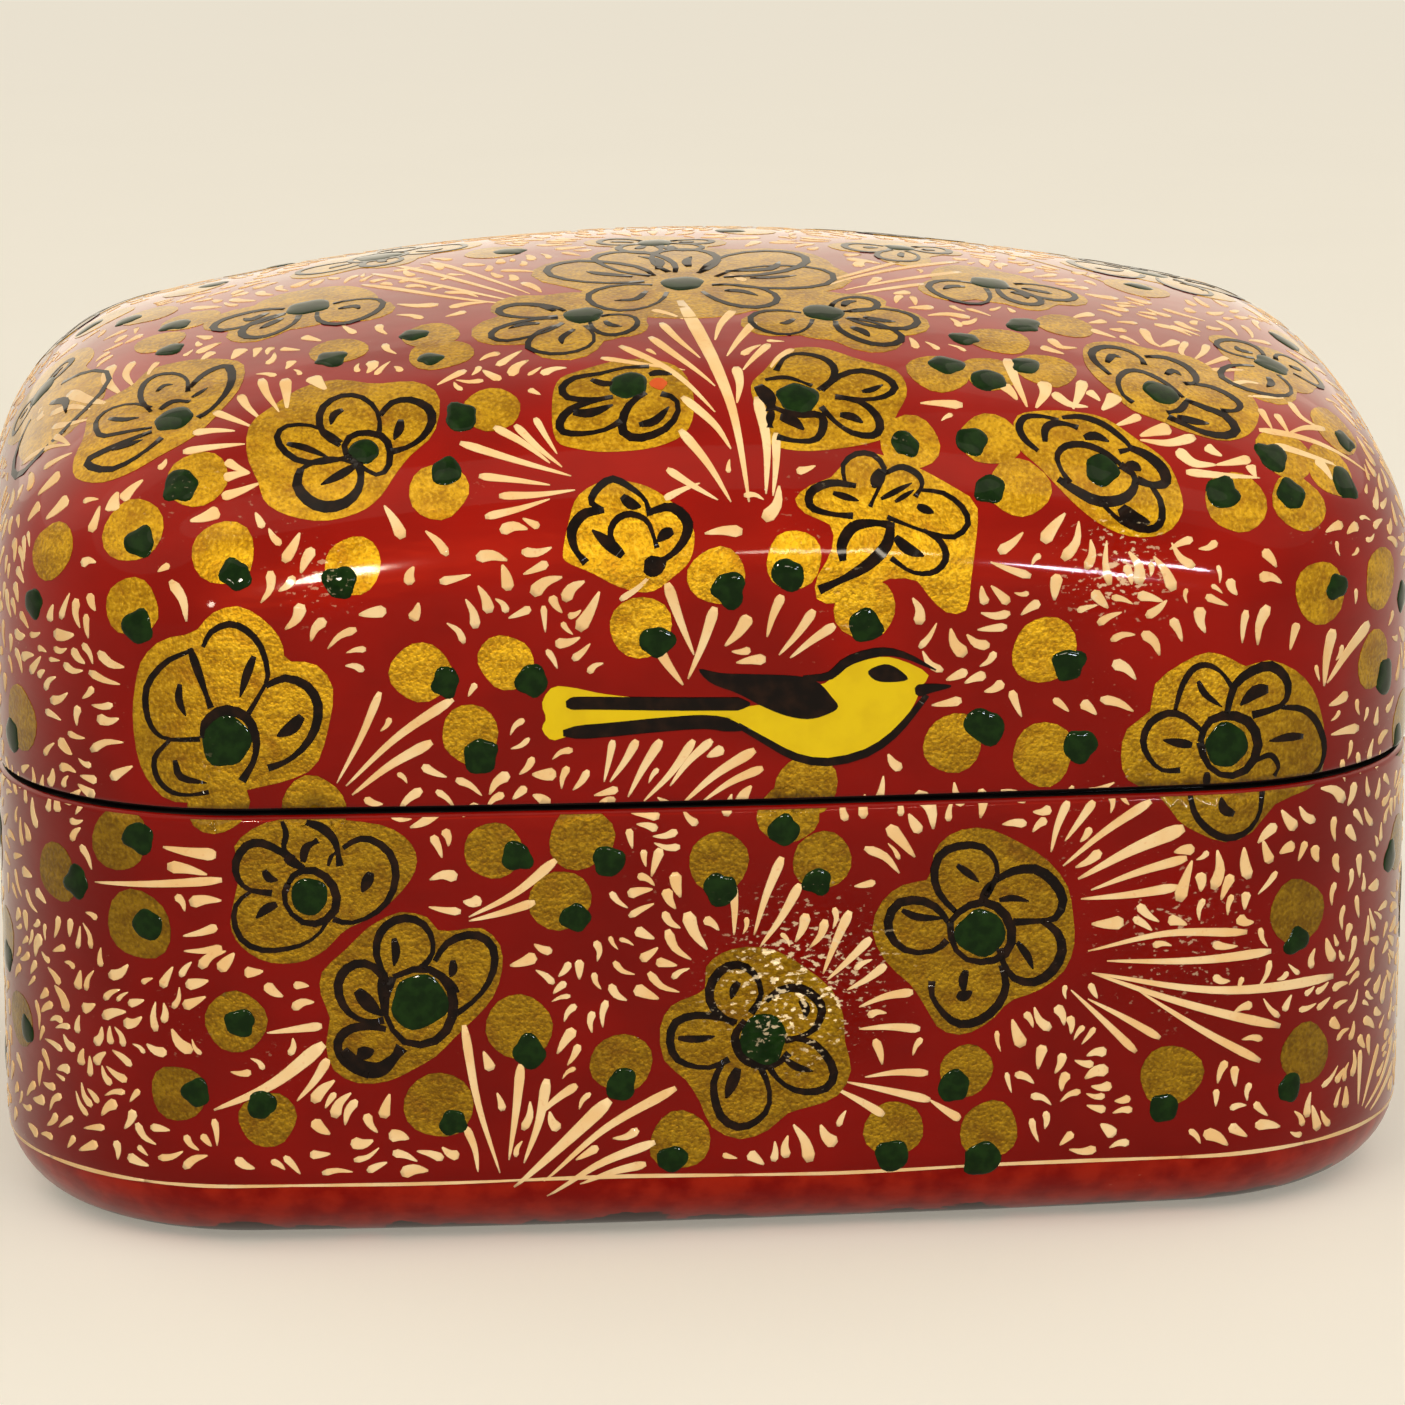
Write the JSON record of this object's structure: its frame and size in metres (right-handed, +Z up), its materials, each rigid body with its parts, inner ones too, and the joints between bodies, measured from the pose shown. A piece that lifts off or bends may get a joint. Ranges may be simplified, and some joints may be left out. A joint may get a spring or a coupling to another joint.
{
  "type": "papier mache box",
  "caption": "Oblong box with bowed sides and round corners: a moulded tray, an inner card collar and a domed lid that lifts straight off.",
  "frame": {"origin": "centre of the flat underside, on the surface that the box stands on", "axes": "+Z up, the way the lid lifts; +X along the long side; the front faces -Y and the collar's butt joint is at the back, +Y"},
  "size_m": [0.15, 0.106, 0.096],
  "materials": {
    "red_lacquer": "gloss varnish over red paint",
    "black_lacquer": "gloss black lacquer",
    "gold_paint": "bronze powder paint under varnish",
    "cream_paint": "brushed paint under varnish",
    "green_paint": "raised paint under varnish",
    "black_paint": "brushed paint under varnish",
    "yellow_paint": "brushed paint under varnish"
  },
  "bodies": {
    "base": {"base_tray": "red_lacquer", "collar": "black_lacquer"},
    "lid": {"lid_shell": "red_lacquer"}
  },
  "joints": [
    {"name": "lid_lift", "type": "slide", "parent": "base", "child": "lid", "axis": [0, 0, 1], "range_m": [0, 0.08]}
  ]
}
